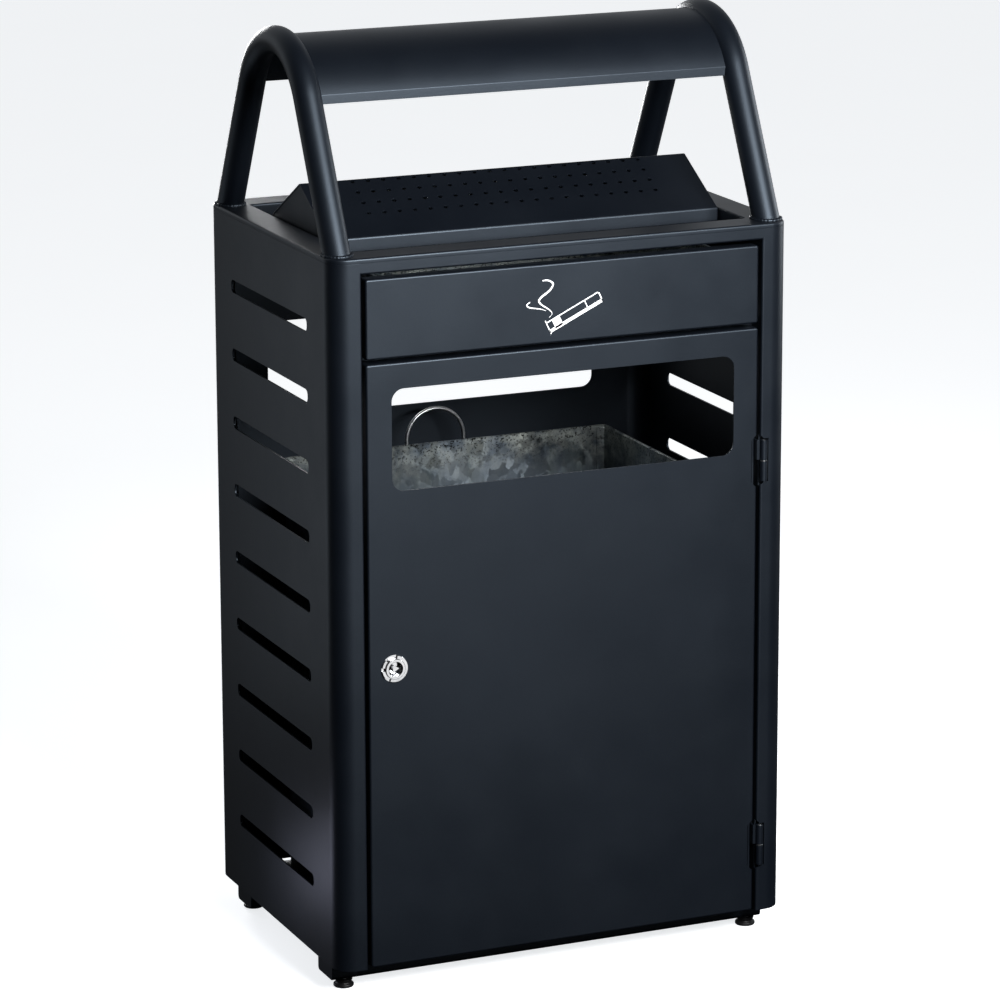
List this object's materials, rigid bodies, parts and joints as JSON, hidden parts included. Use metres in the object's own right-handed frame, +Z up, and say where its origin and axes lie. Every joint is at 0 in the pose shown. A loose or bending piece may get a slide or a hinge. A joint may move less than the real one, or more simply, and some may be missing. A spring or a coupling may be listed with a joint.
{
  "type": "ashtray bin",
  "caption": "Free-standing outdoor litter bin with a lockable door, a galvanised liner, a pull-out ash drawer and a perforated stub hood under two tube hoops and a canopy.",
  "frame": {"origin": "on the floor, under the middle of the bin's bounding box", "axes": "+Z up, the door faces -Y, +X to the right as seen from the front"},
  "size_m": [0.5, 0.354, 0.9661],
  "materials": {
    "powder_coat": "fine-textured anthracite powder coat",
    "chrome": "bright chrome",
    "galvanised_sheet": "hot-dip galvanised, spangled and weathered",
    "zinc_plated_steel": "zinc-plated",
    "black_plastic": "moulded, matt"
  },
  "bodies": {
    "frame": {"side_panel_left": "powder_coat", "side_panel_right": "powder_coat", "hoop_left": "powder_coat", "hoop_right": "powder_coat", "drawer_runner_left": "powder_coat", "drawer_runner_right": "powder_coat", "rail_cap_front_left": "powder_coat", "rail_cap_rear_left": "powder_coat", "rail_cap_front_right": "powder_coat", "rail_cap_rear_right": "powder_coat", "foot_front_left": "black_plastic", "foot_rear_left": "black_plastic", "foot_front_right": "black_plastic", "foot_rear_right": "black_plastic", "foot_stud_front_left": "zinc_plated_steel", "foot_stud_rear_left": "zinc_plated_steel", "foot_stud_front_right": "zinc_plated_steel", "foot_stud_rear_right": "zinc_plated_steel", "hood_screw_front_left": "zinc_plated_steel", "hood_screw_rear_left": "zinc_plated_steel", "hood_screw_front_right": "zinc_plated_steel", "hood_screw_rear_right": "zinc_plated_steel", "base_rail_front": "powder_coat", "base_rail_rear": "powder_coat", "back_panel": "powder_coat", "header_bar": "powder_coat", "top_rim": "powder_coat", "base_plate": "powder_coat", "cross_bar": "powder_coat", "canopy": "powder_coat", "stub_hood": "powder_coat", "hinge_post_half_lower": "powder_coat", "hinge_post_half_upper": "powder_coat", "hinge_pin_lower": "zinc_plated_steel", "hinge_washer_lower": "zinc_plated_steel", "hinge_pin_upper": "zinc_plated_steel", "hinge_washer_upper": "zinc_plated_steel"},
    "ash_drawer": {"ash_drawer_front": "powder_coat", "ash_pan": "galvanised_sheet"},
    "door": {"door_panel": "powder_coat", "hinge_door_half_lower": "powder_coat", "hinge_door_half_upper": "powder_coat", "lock_body": "chrome", "lock_nut": "zinc_plated_steel"},
    "lock": {"lock_core": "chrome", "lock_cam": "zinc_plated_steel", "lock_cam_nut": "zinc_plated_steel"},
    "liner": {"liner": "galvanised_sheet", "liner_loop": "zinc_plated_steel", "liner_loop_strap": "galvanised_sheet"}
  },
  "joints": [
    {"name": "door_hinge", "type": "hinge", "parent": "frame", "child": "door", "pos_m": [0.2217, -0.173, 0.3], "axis": [0, 0, 1], "range_deg": [0, 110]},
    {"name": "lock_turn", "type": "hinge", "parent": "door", "child": "lock", "pos_m": [-0.187, -0.16, 0.343], "axis": [0, -1, 0], "range_deg": [0, 90]},
    {"name": "drawer_slide", "type": "slide", "parent": "frame", "child": "ash_drawer", "axis": [0, -1, 0], "range_m": [0, 0.25]},
    {"name": "liner_lift", "type": "slide", "parent": "frame", "child": "liner", "axis": [0, 0, 1], "range_m": [0, 0.1]}
  ]
}
